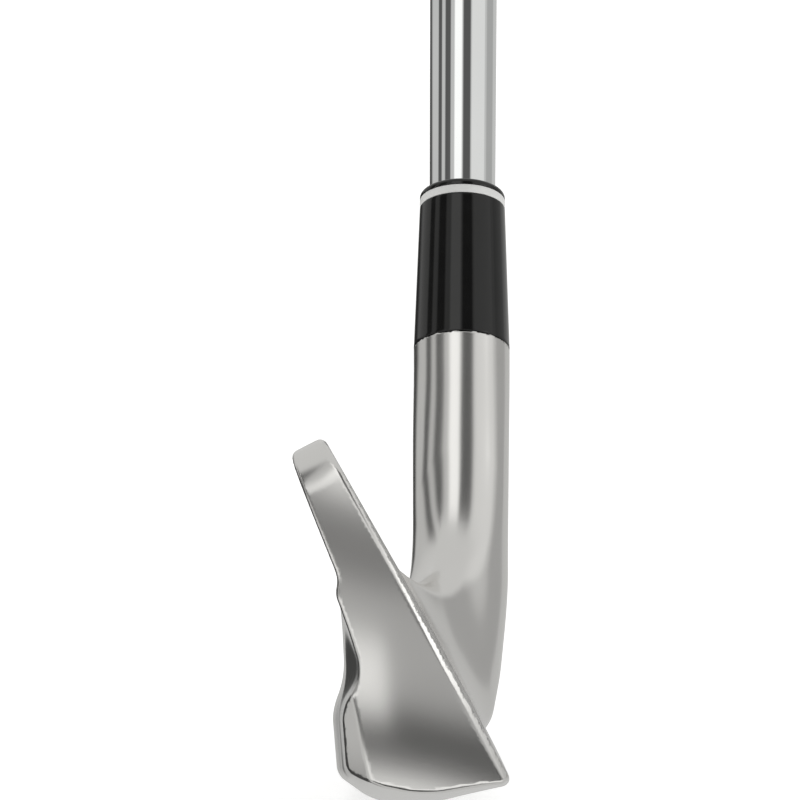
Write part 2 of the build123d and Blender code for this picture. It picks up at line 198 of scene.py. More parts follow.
def plane_behind(x, z, x0, z0, slope):
    """Distance behind the line through (x0, z0) that goes by slope towards +x as it rises."""
    return (x0 + slope * (z - z0) - x) / np.hypot(1, slope)


def outline(x, y, z):
    """The blade's outline seen on the face: round toe, toe corner and straight topline."""
    lean = math.radians(TOP_LEAN)
    slide = (FACE_X - TAN_LOFT * z - x) / (math.cos(lean) + TAN_LOFT * math.sin(lean))
    z_face = z + slide * math.sin(lean)
    middle = -4.0 - 0.3 * (z - 20)
    crown = (x - middle) ** 2 / (2 * TOE_CROWN_RADIUS)
    toe = np.hypot(y - TOE_Y - TOE_RADIUS, z_face - TOE_MID_Z) - TOE_RADIUS + crown
    fall = (TOPLINE_TOE[1] - TOPLINE_HEEL[1]) / (TOPLINE_HEEL[0] - TOPLINE_TOE[0])
    top = (z_face - ridge(y)) / math.hypot(1, fall)
    return round_max(toe, top, TOE_CORNER_RADIUS)


def sole(x, y, z):
    """The V-shaped sole with its trailing bevel, cambered from toe to heel."""
    low = camber(y)
    toe_end = (-20 - y) / 17
    front = plane_under(x, z, SOLE_LINE_X, low, SOLE_FRONT_SLOPE - blend(0, 0.12, toe_end))
    rear = plane_under(x, z, SOLE_LINE_X, low, -SOLE_REAR_SLOPE - blend(0, 0.06, toe_end))
    trail_z = low + (SOLE_LINE_X - TRAILING_X) * SOLE_REAR_SLOPE
    bevel = plane_under(x, z, TRAILING_X, trail_z, -TRAILING_SLOPE)
    return round_max(round_max(front, rear, 1.2), bevel, 0.8)


def back(x, y, z):
    """The back: flange over the sole, muscle above it, and the thin upper blade."""
    heel = (y + 28) / 62
    toe = (-30 - y) / 8
    shift = blend(0, 4.6, heel)
    low = camber(y)
    shelf = np.maximum(14.0 - blend(0, 5.5, heel), low + 6.0)
    muscle_top = np.maximum(shelf + 6.6, np.minimum(MUSCLE_TOP, topline(y) - 15))
    flange_x = -14.2 + shift + blend(0, 0.9, (-20 - y) / 16)
    flange = plane_behind(x, z, flange_x, shelf, -0.117)
    ledge = -plane_under(x, z, -14.2 + shift, shelf, 2.2)
    lower = round_max(flange, ledge, 0.9)
    muscle_x = -13.4 + shift - blend(0, 1.1, (y - 10) / 18)
    muscle = plane_behind(x, z, muscle_x, shelf + 13.9, -0.08 - blend(0, 0.24, toe))
    muscle = round_max(muscle, z - muscle_top, 1.0)
    depth = (FACE_X - TAN_LOFT * z - x) * COS_LOFT
    thin = depth - (4.65 + 0.115 * np.clip(topline(y) - z, 0, 24))
    return smooth_min(smooth_min(lower, muscle, 1.6), thin, 3.2)


def plane_off(x, y, z, plane):
    """Distance outside a plane given by a point and its outward normal."""
    point, normal = plane
    size = math.sqrt(sum(n * n for n in normal))
    return sum(n * (v - p) for n, v, p in zip(normal, (x, y, z), point)) / size


def blade(x, y, z):
    """The whole blade without hosel and cavity."""
    swept = sweep(y, z)
    flare = blend(0, 1.6, (y - SWEEP_FROM_Y) / 18) * blend(1, 0, (z - 22) / 10)
    flare = flare * blend(0, 1, (z - 14) / 7)
    x = x - swept
    face = (x - FACE_X + TAN_LOFT * z) * COS_LOFT + 0.03
    body = round_max(sole(x, y, z), face, 1.5)
    body = round_max(body, back(x + flare, y, z), 0.8)
    edge = np.maximum(blend(0.35, 0.5, (-face - 2) / 2), blend(0.35, 1.0, (z - 46) / 4))
    edge = np.maximum(edge, blend(0.35, 4.0, (y - 24) / 14))
    around = outline(x, y, z)
    body = round_max(body, around, edge)
    rim = RIM_FACE * face + RIM_OUT * around + blend(0.42, 0.24, (z - 18) / 24)
    body = round_max(body, rim, 0.12)
    facet = plane_off(x, y, z, TRAILING_FACET) + np.maximum(12.5 - z, 0) ** 2 / 110
    body = round_max(body, facet, 0.25)
    body = round_max(body, plane_off(x, y, z, RELIEF_FACET), 0.15)
    end = (y - AXIS_Y) * AXIS[2] - z * AXIS[1] + 1.0
    return round_max(body, end, 6.0)


def hosel(x, y, z):
    """The hosel, carried down into the heel, where its front bends back to the leading edge."""
    bend = HEEL_TURN * np.clip((HEEL_TURN_Z - z) / 20, 0, 1.4) ** 1.6
    along = (y - AXIS_Y) * AXIS[1] + z * AXIS[2]
    off = np.hypot((y - AXIS_Y) * AXIS[2] - z * AXIS[1], x - AXIS_X + bend)
    grow = (HOSEL_RADIUS_TOP - HOSEL_RADIUS_NECK) / (HOSEL_TOP - NECK_AT)
    side = off - HOSEL_RADIUS_NECK - grow * np.maximum(along - NECK_AT, 0)
    body = round_max(side, camber(y) + 0.6 - z, 5.0)
    return np.maximum(body, along - HOSEL_TOP - 2), off, along


def below_line(y, z, y0, z0, y1, z1):
    """Distance below the line through two points of the Y-Z plane."""
    slope = (z1 - z0) / (y1 - y0)
    return (z0 + slope * (y - y0) - z) / math.hypot(1, slope)


def pocket(x, y, z):
    """The cavity in the upper back, down to just under the pad's surface."""
    depth = (FACE_X - TAN_LOFT * z - x) * COS_LOFT
    level = z + (depth - FACE_THICKNESS) * SIN_LOFT
    low = below_line(y, level, CAVITY_TOE_Y, CAVITY_LOW_TOE, CAVITY_HEEL_Y, CAVITY_LOW_HEEL)
    high = level - topline(y) + CAVITY_RIM
    side = round_max(CAVITY_TOE_Y - y, y - CAVITY_HEEL_Y, CAVITY_CORNER)
    wall = round_max(round_max(low, high, CAVITY_CORNER), side, CAVITY_CORNER)
    return round_max(wall, POCKET_FLOOR - depth, 0.5)


def plate_seat(x, y, z):
    """The recess that the face plate fills, a little smaller than the plate."""
    depth = (FACE_X - TAN_LOFT * z - x) * COS_LOFT
    margin = PLATE_MARGIN + SEAT_INSET
    toe = np.hypot(y - TOE_Y - TOE_RADIUS, z - TOE_MID_Z) - TOE_RADIUS + margin
    top = round_max(toe, z - topline(y) + margin, 4.0)
    low = round_max(PLATE_LOW + SEAT_INSET - z, y - PLATE_HEEL_Y + SEAT_INSET, 4.0)
    return np.maximum(round_max(top, low, 4.0), depth - 0.9)


def head(x, y, z):
    """The forged head: negative inside, in millimetres."""
    tube, off, along = hosel(x, y, z)
    fillet = blend(7.0, 11.5, (x - 0.5) / 6)
    body = soft_min(blade(x, y, z), tube, fillet)
    body = round_max(body, -pocket(x, y, z), 0.4)
    body = np.maximum(body, -plate_seat(x, y, z))
    body = round_max(body, along - HOSEL_TOP, 0.15)
    bore = np.maximum(off - HOSEL_BORE_RADIUS, HOSEL_BORE_BOTTOM - along)
    return np.maximum(body, -bore)


# ---------------------------------------------------------------- contouring
def contour(field, low, high, step):
    """Points and quads on the surface where field is 0, with its normals."""
    axes = [np.arange(a - step, b + 2 * step, step) for a, b in zip(low, high)]
    grid = np.meshgrid(*axes, indexing="ij", sparse=True)
    values = np.asarray(field(*grid), dtype=np.float32)
    inside = values < 0
    shape = np.array(values.shape)
    corners = [(i, j, k) for i in (0, 1) for j in (0, 1) for k in (0, 1)]
    count = sum(inside[i : shape[0] - 1 + i, j : shape[1] - 1 + j, k : shape[2] - 1 + k].astype(np.int8)
                for i, j, k in corners)
    cells = np.argwhere((count > 0) & (count < 8))
    number = np.full(shape - 1, -1, dtype=np.int64)
    number[tuple(cells.T)] = np.arange(len(cells))
    total = np.zeros((len(cells), 3))
    hits = np.zeros((len(cells), 1))
    for a in corners:
        for axis in range(3):
            if a[axis]:
                continue
            b = list(a)
            b[axis] = 1
            va = values[tuple((cells + a).T)]
            vb = values[tuple((cells + b).T)]
            cross = (va < 0) != (vb < 0)
            t = np.where(cross, va / np.where(va == vb, 1, va - vb), 0)[:, None]
            point = np.array(a) + t * (np.array(b) - np.array(a))
            total += np.where(cross[:, None], point, 0)
            hits += cross[:, None]
    points = np.array([a[0] for a in axes]) + (cells + total / hits) * step
    quads = []
    for axis in range(3):
        u, v = [(1, 2), (2, 0), (0, 1)][axis]
        ahead = np.take(inside, range(1, shape[axis]), axis)
        here = np.take(inside, range(shape[axis] - 1), axis)
        edges = np.argwhere(ahead != here)
        edges = edges[(edges[:, u] > 0) & (edges[:, v] > 0)]
        edges = edges[(edges[:, u] < shape[u] - 1) & (edges[:, v] < shape[v] - 1)]
        out = here[tuple(edges.T)]
        ring = []
        for du, dv in ((1, 1), (0, 1), (0, 0), (1, 0)):
            cell = edges.copy()
            cell[:, u] -= du
            cell[:, v] -= dv
            ring.append(number[tuple(cell.T)])
        ring = np.stack(ring, 1)
        ring[~out] = ring[~out][:, ::-1]
        quads.append(ring)
    quads = np.concatenate(quads)
    for _ in range(3):
        points = settle(field, relax(points, quads), step)
    return points, quads, gradient(field, points)


def gradient(field, points, h=0.02):
    """Unit normals of the field at points."""
    slopes = []
    for axis in range(3):
        d = np.zeros(3)
        d[axis] = h
        slopes.append(field(*(points + d).T) - field(*(points - d).T))
    normal = np.stack(slopes, 1)
    return normal / (np.linalg.norm(normal, axis=1, keepdims=True) + 1e-12)


def settle(field, points, step):
    """Moves points onto the surface along the field's slope."""
    h = 0.02
    for _ in range(3):
        slopes = []
        for axis in range(3):
            d = np.zeros(3)
            d[axis] = h
            slopes.append((field(*(points + d).T) - field(*(points - d).T)) / (2 * h))
        slope = np.stack(slopes, 1)
        value = field(*points.T)[:, None]
        move = value * slope / ((slope**2).sum(1, keepdims=True) + 1e-6)
        points = points - np.clip(move, -step / 2, step / 2)
    return points


def relax(points, quads):
    """Evens out the spacing of the points."""
    total = np.zeros_like(points)
    weight = np.zeros(len(points))
    for i in range(4):
        a, b = quads[:, i], quads[:, (i + 1) % 4]
        for p, q in ((a, b), (b, a)):
            for axis in range(3):
                total[:, axis] += np.bincount(p, points[q, axis], len(points))
            weight += np.bincount(p, minlength=len(points))
    return points * 0.5 + 0.5 * total / weight[:, None]


def new_object(name, mesh):
    """An object with this data, linked into the scene."""
    obj = bpy.data.objects.new(name, mesh)
    bpy.context.scene.collection.objects.link(obj)
    return obj


def make_head(step):
    """The forged head as one closed mesh."""
    points, quads, normals = contour(head, (-23, -42, -1), (15, 76, 62), step)
    mesh = bpy.data.meshes.new("head")
    mesh.from_pydata((points * MM).tolist(), [], quads.tolist())
    mesh.polygons.foreach_set("use_smooth", [True] * len(mesh.polygons))
    mesh.normals_split_custom_set_from_vertices(normals.tolist())
    return new_object("head", mesh)


# ---------------------------------------------------------------- turned pieces
def on_axis(at, radius=0.0, angle=0.0):
    """The point at a distance along the shaft axis, off it by radius at an angle."""
    side = np.array([1.0, 0.0, 0.0])
    up = np.cross(AXIS, side)
    centre = np.array([AXIS_X, AXIS_Y, 0.0]) + AXIS * at
    return (centre + side * radius * math.cos(angle) + up * radius * math.sin(angle)) * MM


def turned(name, profile, segments=128, closed=True):
    """A piece turned round the shaft axis from (radius, distance along the axis) points."""
    points, faces = [], []
    rows = len(profile)
    for i in range(segments):
        angle = 2 * math.pi * i / segments
        points += [tuple(on_axis(at, radius, angle)) for radius, at in profile]
    for i in range(segments):
        j = (i + 1) % segments
        for k in range(rows if closed else rows - 1):
            m = (k + 1) % rows
            faces.append((i * rows + k, j * rows + k, j * rows + m, i * rows + m))
    mesh = bpy.data.meshes.new(name)
    mesh.from_pydata(points, [], faces)
    obj = new_object(name, mesh)
    for polygon in mesh.polygons:
        polygon.use_smooth = True
    return obj


def arc(cx, cy, radius, start, end, count=6):
    """Points of an arc in the profile plane, angles in degrees."""
    angles = [math.radians(start + (end - start) * i / count) for i in range(count + 1)]
    return [(cx + radius * math.cos(a), cy + radius * math.sin(a)) for a in angles]


def shaft_radius(at):
    """Outer radius of the shaft along the axis, steps included."""
    tapered = TIP_RADIUS + TIP_TAPER * (min(at, TAPER_END) - TIP_AT)
    steps = sum(at >= FIRST_STEP + STEP_SPACING * i for i in range(STEP_COUNT))
    rise = (BUTT_RADIUS - (TIP_RADIUS + TIP_TAPER * (TAPER_END - TIP_AT))) / STEP_COUNT
    return tapered + rise * steps


def make_shaft():
    """The stepped tube."""
    outer = [(shaft_radius(TIP_AT), TIP_AT), (shaft_radius(TAPER_END), TAPER_END)]
    for i in range(STEP_COUNT):
        at = FIRST_STEP + STEP_SPACING * i
        low, high = shaft_radius(at - STEP_LENGTH), shaft_radius(at)
        for share in (-0.35, 0.15, 0.35, 0.65, 0.85, 1.35):
            radius = low + (high - low) * float(blend(0, 1, share))
            outer.append((radius, at - STEP_LENGTH + STEP_LENGTH * share))
    outer.append((BUTT_RADIUS, SHAFT_END))
    inner = [(BUTT_RADIUS - BORE_WALL, SHAFT_END), (shaft_radius(TIP_AT) - BORE_WALL, TIP_AT)]
    return turned("shaft_tube", outer + inner)


def make_ferrule():
    """The ferrule with its groove for the ring and its rounded top edge."""
    ring_high = FERRULE_TOP - RING_BELOW_TOP
    ring_low = ring_high - RING_HEIGHT
    out, bore_low, bore_top = FERRULE_TOP_RADIUS, shaft_radius(HOSEL_TOP), shaft_radius(FERRULE_TOP)
    profile = [(bore_low, HOSEL_TOP)]
    profile += arc(HOSEL_RADIUS_TOP - 0.12, HOSEL_TOP + 0.12, 0.12, -90, -2, 4)
    grow = (HOSEL_RADIUS_TOP - out) / (ring_low - HOSEL_TOP)
    for share in (0.02, 0.25, 0.5, 0.75, 0.98):
        at = HOSEL_TOP + (ring_low - HOSEL_TOP) * share
        profile.append((HOSEL_RADIUS_TOP - grow * (at - HOSEL_TOP), at))
    profile += arc(out - 0.05, ring_low - 0.05, 0.05, 0, 90, 3)
    profile += [(out - 0.6, ring_low), (out - 0.6, ring_high)]
    profile += arc(out - 0.05, ring_high + 0.05, 0.05, -90, 0, 3)
    profile += arc(out - 0.75, FERRULE_TOP - 0.75, 0.75, 0, 82, 8)
    profile += [(bore_top + 0.05, FERRULE_TOP), (bore_top, FERRULE_TOP - 0.1)]
    return turned("ferrule_sleeve", profile)


def make_ring():
    """The plain ring set in the ferrule."""
    high = FERRULE_TOP - RING_BELOW_TOP - 0.02
    low = high - RING_HEIGHT + 0.04
    out = FERRULE_TOP_RADIUS
    profile = [(out - 0.55, low)] + arc(out - 0.1, low + 0.1, 0.1, -90, 0, 4)
    profile += arc(out - 0.1, high - 0.1, 0.1, 0, 90, 4) + [(out - 0.55, high)]
    return turned("ferrule_band", profile)


def make_band():
    """The thin film round the shaft."""
    radius = shaft_radius(BAND_AT)
    end = BAND_AT + BAND_LENGTH
    film = radius + BAND_THICKNESS
    profile = [(radius - 0.05, BAND_AT + 0.05), (film - 0.03, BAND_AT), (film, BAND_AT + 0.1)]
    profile += [(film, end - 0.1), (film - 0.03, end), (radius - 0.05, end - 0.05)]
    return turned("shaft_film", profile)


def grip_radius(at):
    """Outer radius of the grip along the axis."""
    share = (at - GRIP_START) / GRIP_LENGTH
    return GRIP_MOUTH_RADIUS + (GRIP_BUTT_RADIUS - GRIP_MOUTH_RADIUS) * max(share, 0) ** 1.25


def grip_relief(at, angle, radius):
    """Depth of the grip's moulded pattern: staggered short grooves between plain bands."""
    row = (at - GRIP_START) / 5.5
    inside = blend(0, 1, (at - GRIP_START - 16) / 2) * blend(0, 1, (SHAFT_END - 26 - at) / 2)
    column = angle * radius / 4.0 + 0.5 * (np.floor(row) % 2)
    u = np.abs(column % 1 - 0.5) * 4.0
    v = np.abs(row % 1 - 0.5) * 5.5
    cut = np.clip(1 - np.hypot(np.maximum(u - 0.05, 0), np.maximum(v - 1.2, 0)) / 0.75, 0, 1)
    return 0.4 * inside * cut**0.7


def make_grip():
    """The rubber sleeve with its lip, pattern and a thin waist under the cap."""
    segments = 132
    bed = BUTT_RADIUS + TAPE_THICKNESS
    mouth = GRIP_MOUTH_RADIUS
    start = GRIP_START
    rows = [(BUTT_RADIUS, start + LIP_HEIGHT), (BUTT_RADIUS + 0.02, start + 0.3)]
    rows += arc(BUTT_RADIUS + 0.4, start + 0.4, 0.4, 180, 270, 3)
    rows += arc(mouth + LIP_STEP - 0.7, start + 0.7, 0.7, -90, 0, 5)
    rows += [(mouth + LIP_STEP, start + LIP_HEIGHT - 0.6)]
    rows += [(mouth + LIP_STEP - 0.15, start + LIP_HEIGHT - 0.15)]
    rows += [(grip_radius(start + LIP_HEIGHT), start + LIP_HEIGHT)]
    body_start = len(rows)
    at = start + LIP_HEIGHT + 0.5
    while at < SHAFT_END - 0.4:
        rows.append((grip_radius(at), at))
        at += 0.58
    body_end = len(rows)
    rows += [(grip_radius(SHAFT_END) - 0.1, SHAFT_END), (bed, SHAFT_END), (bed, start + LIP_HEIGHT)]
    obj = turned("grip_sleeve", rows, segments=segments)
    count = len(rows)
    centre = np.array([AXIS_X, AXIS_Y, 0.0])
    side = np.array([1.0, 0.0, 0.0])
    up = np.cross(AXIS, side)
    mean_radius = round(2 * math.pi * 11.0 / 4.0) * 4.0 / (2 * math.pi)
    for i in range(segments):
        angle = 2 * math.pi * i / segments
        out = side * math.cos(angle) + up * math.sin(angle)
        for k in range(body_start, body_end):
            radius, at = rows[k]
            radius -= float(grip_relief(at, angle, mean_radius))
            obj.data.vertices[i * count + k].co = Vector((centre + AXIS * at + out * radius) * MM)
    return obj


def make_cap():
    """The end cap with its rounded edge, shallow dish and vent."""
    top = CLUB_LENGTH
    outer = grip_radius(SHAFT_END)
    profile = [(VENT_RADIUS, SHAFT_END + 0.02), (outer - 0.3, SHAFT_END + 0.02)]
    profile += [(outer - 0.25, SHAFT_END + 0.25), (outer - 0.02, SHAFT_END + 0.5)]
    profile += arc(outer - CAP_EDGE, top - CAP_EDGE, CAP_EDGE, 0, 90, 8)
    profile += [(9.2, top), (9.0, top - 0.05), (8.6, top - 0.45), (8.3, top - 0.5), (4.0, top - 0.5)]
    profile += [(3.6, top - 0.45), (3.3, top - 0.1), (3.1, top - 0.03), (2.5, top - 0.03)]
    profile += arc(VENT_RADIUS + 0.3, top - 0.33, 0.3, 90, 180, 4)
    return turned("grip_end_cap", profile)


def make_number():
    """The plain 7 painted on the sole."""
    half_h, half_w, stroke = NUMBER_HEIGHT / 2, NUMBER_WIDTH / 2, NUMBER_STROKE
    bar, foot = half_h - stroke, -0.4 * half_w
    outline_points = [(-half_w, half_h), (half_w, half_h), (half_w, bar), (foot + stroke, -half_h),
                      (foot, -half_h), (half_w - stroke, bar), (-half_w, bar)]
    x0, y0 = NUMBER_AT
    points = []
    for lift in (0.03, -0.3):
        for u, v in outline_points:
            x, y = x0 + v, y0 + u
            z = float(camber(y)) + (SOLE_LINE_X - x) * SOLE_REAR_SLOPE - lift
            points.append((x * MM, y * MM, z * MM))
    n = len(outline_points)
    faces = [tuple(range(n)), tuple(range(2 * n - 1, n - 1, -1))]
    faces += [(i, i + n, (i + 1) % n + n, (i + 1) % n) for i in range(n)]
    mesh = bpy.data.meshes.new("sole_number")
    mesh.from_pydata(points, [], faces)
    return new_object("sole_number", mesh)


# ---------------------------------------------------------------- materials
def add_node(tree, kind, inputs=None, **settings):
    """A new node with its settings, and each of its inputs linked or set."""
    node = tree.nodes.new(kind)
    for key, value in settings.items():
        setattr(node, key, value)
    for key, value in (inputs or {}).items():
        if isinstance(value, bpy.types.NodeSocket):
            tree.links.new(value, node.inputs[key])
        else:
            node.inputs[key].default_value = value
    return node


class Shade:
    """A material's node tree, with short calls to add nodes."""

    def __init__(self, name):
        self.material = bpy.data.materials.new(name)
        self.material.use_nodes = True
        self.links = self.material.node_tree.links
        self.shader = self.material.node_tree.nodes["Principled BSDF"]
        self.place = self.add("ShaderNodeTexCoord").outputs["Object"]

    def add(self, kind, inputs=None, **settings):
        """A new node in this material."""
        return add_node(self.material.node_tree, kind, inputs, **settings)

    def noise(self, per_mm, detail=3.0, stretch=(1, 1, 1)):
        """Noise with per_mm features to the millimetre."""
        place = self.add("ShaderNodeMapping", {"Vector": self.place, "Scale": stretch}).outputs[0]
        return self.add("ShaderNodeTexNoise", {"Vector": place, "Scale": per_mm * 1000,
                                               "Detail": detail}).outputs["Fac"]

    def spread(self, value, low, high):
        """Maps 0.3 ... 0.7 of a value to low ... high."""
        return self.add("ShaderNodeMapRange", {"Value": value, "From Min": 0.3, "From Max": 0.7,
                                               "To Min": low, "To Max": high}).outputs[0]

    def colours(self, value, low, high):
        """Colours from low to high over a noise."""
        ramp = self.add("ShaderNodeValToRGB", {"Fac": value})
        ramp.color_ramp.elements[0].position = 0.3
        ramp.color_ramp.elements[0].color = (*low, 1)
        ramp.color_ramp.elements[1].position = 0.7
        ramp.color_ramp.elements[1].color = (*high, 1)
        return ramp.outputs["Color"]

    def set(self, socket, value):
        """Sets or links one input of the material's shader."""
        if isinstance(value, bpy.types.NodeSocket):
            self.links.new(value, self.shader.inputs[socket])
        else:
            self.shader.inputs[socket].default_value = value

    def bump(self, height, depth_mm):
        """Raises the surface by depth_mm where height is 1, in its shading only."""
        node = self.add("ShaderNodeBump", {"Height": height, "Distance": depth_mm * MM, "Strength": 1.0})
        self.links.new(node.outputs[0], self.shader.inputs["Normal"])


def metal(name, low, high, rough, grain, depth, stretch=(1, 1, 1)):
    """Metal with a fine grain in its roughness and surface, and a faint colour drift."""
    shade = Shade(name)
    shade.set("Metallic", 1.0)
    shade.set("Base Color", shade.colours(shade.noise(0.08, 2), low, high))
    fine = shade.noise(grain, 3, stretch)
    shade.set("Roughness", shade.spread(fine, *rough))
    shade.bump(fine, depth)
    return shade


def plastic(name, low, high, rough, grain, depth):
    """Plastic or rubber with a fine grain."""
    shade = Shade(name)
    shade.set("Base Color", shade.colours(shade.noise(0.3, 2), low, high))
    fine = shade.noise(grain, 3)
    shade.set("Roughness", shade.spread(fine, *rough))
    shade.bump(fine, depth)
    return shade


# Each material below gives its low and high colour, its low and high roughness, the grains to the
# millimetre, their depth in millimetres and, where it is brushed, how tightly each axis is packed.

def make_satin_steel():
    """The forged body's satin finish."""
    return metal("satin_steel", (0.79, 0.78, 0.765), (0.81, 0.80, 0.785), (0.175, 0.20), 6.0, 0.0002)


def make_face_steel():
    """The face plate's steel, brushed across."""
    return metal("face_steel", (0.52, 0.515, 0.5), (0.58, 0.57, 0.56),
                 (0.32, 0.42), 0.9, 0.006, (1, 1, 14))


def make_dense_metal():
    """The toe weight's dark grey metal."""
    return metal("dense_metal", (0.3, 0.3, 0.3), (0.36, 0.36, 0.36), (0.4, 0.5), 3, 0.004)


def make_pad_rubber():
    """The damping pad's black rubber."""
    return plastic("pad_rubber", (0.008, 0.008, 0.008), (0.016, 0.016, 0.016), (0.5, 0.65), 2, 0.01)


def make_badge_aluminium():
    """The cavity badge's brushed grey metal."""
    return metal("badge_aluminium", (0.3, 0.3, 0.3), (0.36, 0.36, 0.355),
                 (0.28, 0.4), 0.8, 0.004, (1, 16, 1))


def make_mark_paint():
    """The black paint in the sole number."""
    return plastic("mark_paint", (0.006, 0.006, 0.006), (0.012, 0.012, 0.012), (0.35, 0.5), 3, 0.004)


def make_adhesive():
    """The amber adhesive in the hosel."""
    return plastic("adhesive", (0.5, 0.45, 0.3), (0.6, 0.5, 0.35), (0.4, 0.5), 1, 0.01)


def make_tip_brass():
    """The tip weight's brass."""
    return metal("tip_brass", (0.6, 0.43, 0.18), (0.66, 0.48, 0.2), (0.3, 0.4), 3, 0.004)


def make_ferrule_black():
    """The ferrule's glossy black."""
    return plastic("ferrule_black", (0.004, 0.004, 0.004), (0.006, 0.006, 0.006),
                   (0.06, 0.10), 1.2, 0.0015)


def make_ring_white():
    """The ferrule ring's white."""
    return plastic("ring_white", (0.80, 0.80, 0.79), (0.86, 0.86, 0.85), (0.3, 0.4), 2, 0.003)


def make_shaft_chrome():
    """The shaft's bright chrome."""
    return metal("shaft_chrome", (0.86, 0.87, 0.87), (0.89, 0.90, 0.90), (0.02, 0.04), 0.5, 0.0004)


def make_band_film():
    """The shaft band's grey film."""
    return plastic("band_film", (0.42, 0.43, 0.44), (0.46, 0.47, 0.48), (0.25, 0.35), 1, 0.003)


def make_tape_paper():
    """The tape under the grip."""
    return plastic("tape_paper", (0.6, 0.55, 0.45), (0.7, 0.62, 0.5), (0.7, 0.85), 2, 0.02)


def make_grip_rubber():
    """The grip's matt black rubber."""
    return plastic("grip_rubber", (0.012, 0.012, 0.012), (0.02, 0.02, 0.02), (0.55, 0.7), 1.5, 0.03)


def make_cap_rubber():
    """The end cap's matt black rubber."""
    return plastic("cap_rubber", (0.012, 0.012, 0.012), (0.018, 0.018, 0.018), (0.5, 0.62), 1.5, 0.02)


def make_materials():
    """One material for each slot of the record."""
    return {
        "satin_steel": make_satin_steel().material,
        "face_steel": make_face_steel().material,
        "dense_metal": make_dense_metal().material,
        "pad_rubber": make_pad_rubber().material,
        "badge_aluminium": make_badge_aluminium().material,
        "mark_paint": make_mark_paint().material,
        "adhesive": make_adhesive().material,
        "tip_brass": make_tip_brass().material,
        "ferrule_black": make_ferrule_black().material,
        "ring_white": make_ring_white().material,
        "shaft_chrome": make_shaft_chrome().material,
        "band_film": make_band_film().material,
        "tape_paper": make_tape_paper().material,
        "grip_rubber": make_grip_rubber().material,
        "cap_rubber": make_cap_rubber().material,
    }


# ---------------------------------------------------------------- studio
WALLS = 0.55  # light of the plain surround
GROUND = 0.6
OVERHEAD = 0.65
TOE_SIDE = 0.45  # light of the wall behind the camera
EDGE = 6.0  # degrees over which a board's edge fades

# Upright boards round the shaft: from and to in degrees, 0 on the camera's side, and light.
UPRIGHT_BOARDS = (
    (-95, -85, 0.1),  # black strip that draws the left edge
    (-65, -50, 0.1),  # black strip beside the key light
    (-30, -10, 1.1),  # key light
    (0, 20, 0.1),  # black card at the camera
    (30, 75, 0.75),  # fill
    (90, 120, 0.4),  # grey card at the right
)

# Boards across the camera's side: lowest and highest in degrees, and light.
TOE_BOARDS = (
    (-90, -60, 0.05),  # shade under the table
    (-50, -30, 1.0),  # lit table top
    (-24, -18, 0.05),  # black edge of the table
    (10, 18, 0.2),  # black card over the lens
    (26, 90, 0.9),  # overhead box
)

# Single boards: turn from and to, height from and to in degrees, and light.
SINGLE_BOARDS = (
    (-70, -10, -14, -6, 1.0),  # low strip left of the lens
    (-165, -105, -50, 0, 0.06),  # black board behind and left
    (50, 70, 14, 30, 1.4),  # small lamp at the right
)


def make_world():
    """A plain studio: a light surround with a few black and white boards."""
    world = bpy.data.worlds.new("studio")
    world.use_nodes = True
    world.node_tree.nodes.clear()

    def add(kind, inputs=None, **settings):
        """A new node in the world."""
        return add_node(world.node_tree, kind, inputs, **settings)

    def dot(direction):
        """How far the view points along a direction."""
        node = add("ShaderNodeVectorMath", {0: place, 1: direction}, operation="DOT_PRODUCT")
        return node.outputs["Value"]

    def calc(operation, a, b=0.0):
        """One step of arithmetic."""
        return add("ShaderNodeMath", {0: a, 1: b}, operation=operation).outputs[0]

    def rise(value, start, end):
        """A smooth step from 0 at start to 1 at end."""
        return add("ShaderNodeMapRange", {"Value": value, "From Min": start, "From Max": end},
                   interpolation_type="SMOOTHSTEP").outputs[0]

    def between(value, start, end):
        """1 from start to end, fading out beyond both."""
        return calc("MULTIPLY", rise(value, start - EDGE, start), rise(value, end + EDGE, end))

    def grey(light):
        """A grey of this light."""
        node = add("ShaderNodeRGB")
        node.outputs[0].default_value = (light, light, light * 0.985, 1)
        return node.outputs[0]

    def mix(share, a, b):
        """The colour a, giving way to b as share goes from 0 to 1."""
        return add("ShaderNodeMix", {0: share, 6: a, 7: b}, data_type="RGBA").outputs[2]

    place = add("ShaderNodeTexCoord").outputs["Generated"]
    around = calc("DEGREES", calc("ARCTAN2", dot((1, 0, 0)), dot((0, -AXIS[2], AXIS[1]))))
    height = calc("DEGREES", calc("ARCSINE", dot((0, 0, 1))))
    turn = calc("DEGREES", calc("ARCTAN2", dot((1, 0, 0)), dot((0, -1, 0))))
    off_toe = calc("ABSOLUTE", turn)

    light = grey(WALLS)
    for start, end, level in UPRIGHT_BOARDS:
        light = mix(between(around, start, end), light, grey(level))
    light = mix(rise(height, 0, -12), light, grey(GROUND))
    light = mix(rise(dot(tuple(AXIS)), 0.52, 0.7), light, grey(OVERHEAD))
    toe = grey(TOE_SIDE)
    for low, high, level in TOE_BOARDS:
        toe = mix(between(height, low, high), toe, grey(level))
    at_toe = calc("MULTIPLY", rise(off_toe, 75, 50), rise(height, 40, 28))
    light = mix(at_toe, light, toe)
    for start, end, low, high, level in SINGLE_BOARDS:
        share = calc("MULTIPLY", between(turn, start, end), between(height, low, high))
        light = mix(share, light, grey(level))

    camera_ray = add("ShaderNodeLightPath").outputs["Is Camera Ray"]
    soft = add("ShaderNodeBackground", {"Color": light, "Strength": 1.0})
    plain = add("ShaderNodeBackground", {"Color": (1, 1, 1, 1), "Strength": 1.0})
    both = add("ShaderNodeMixShader", {0: camera_ray, 1: soft.outputs[0], 2: plain.outputs[0]})
    add("ShaderNodeOutputWorld", {"Surface": both.outputs[0]})
    bpy.context.scene.world = world


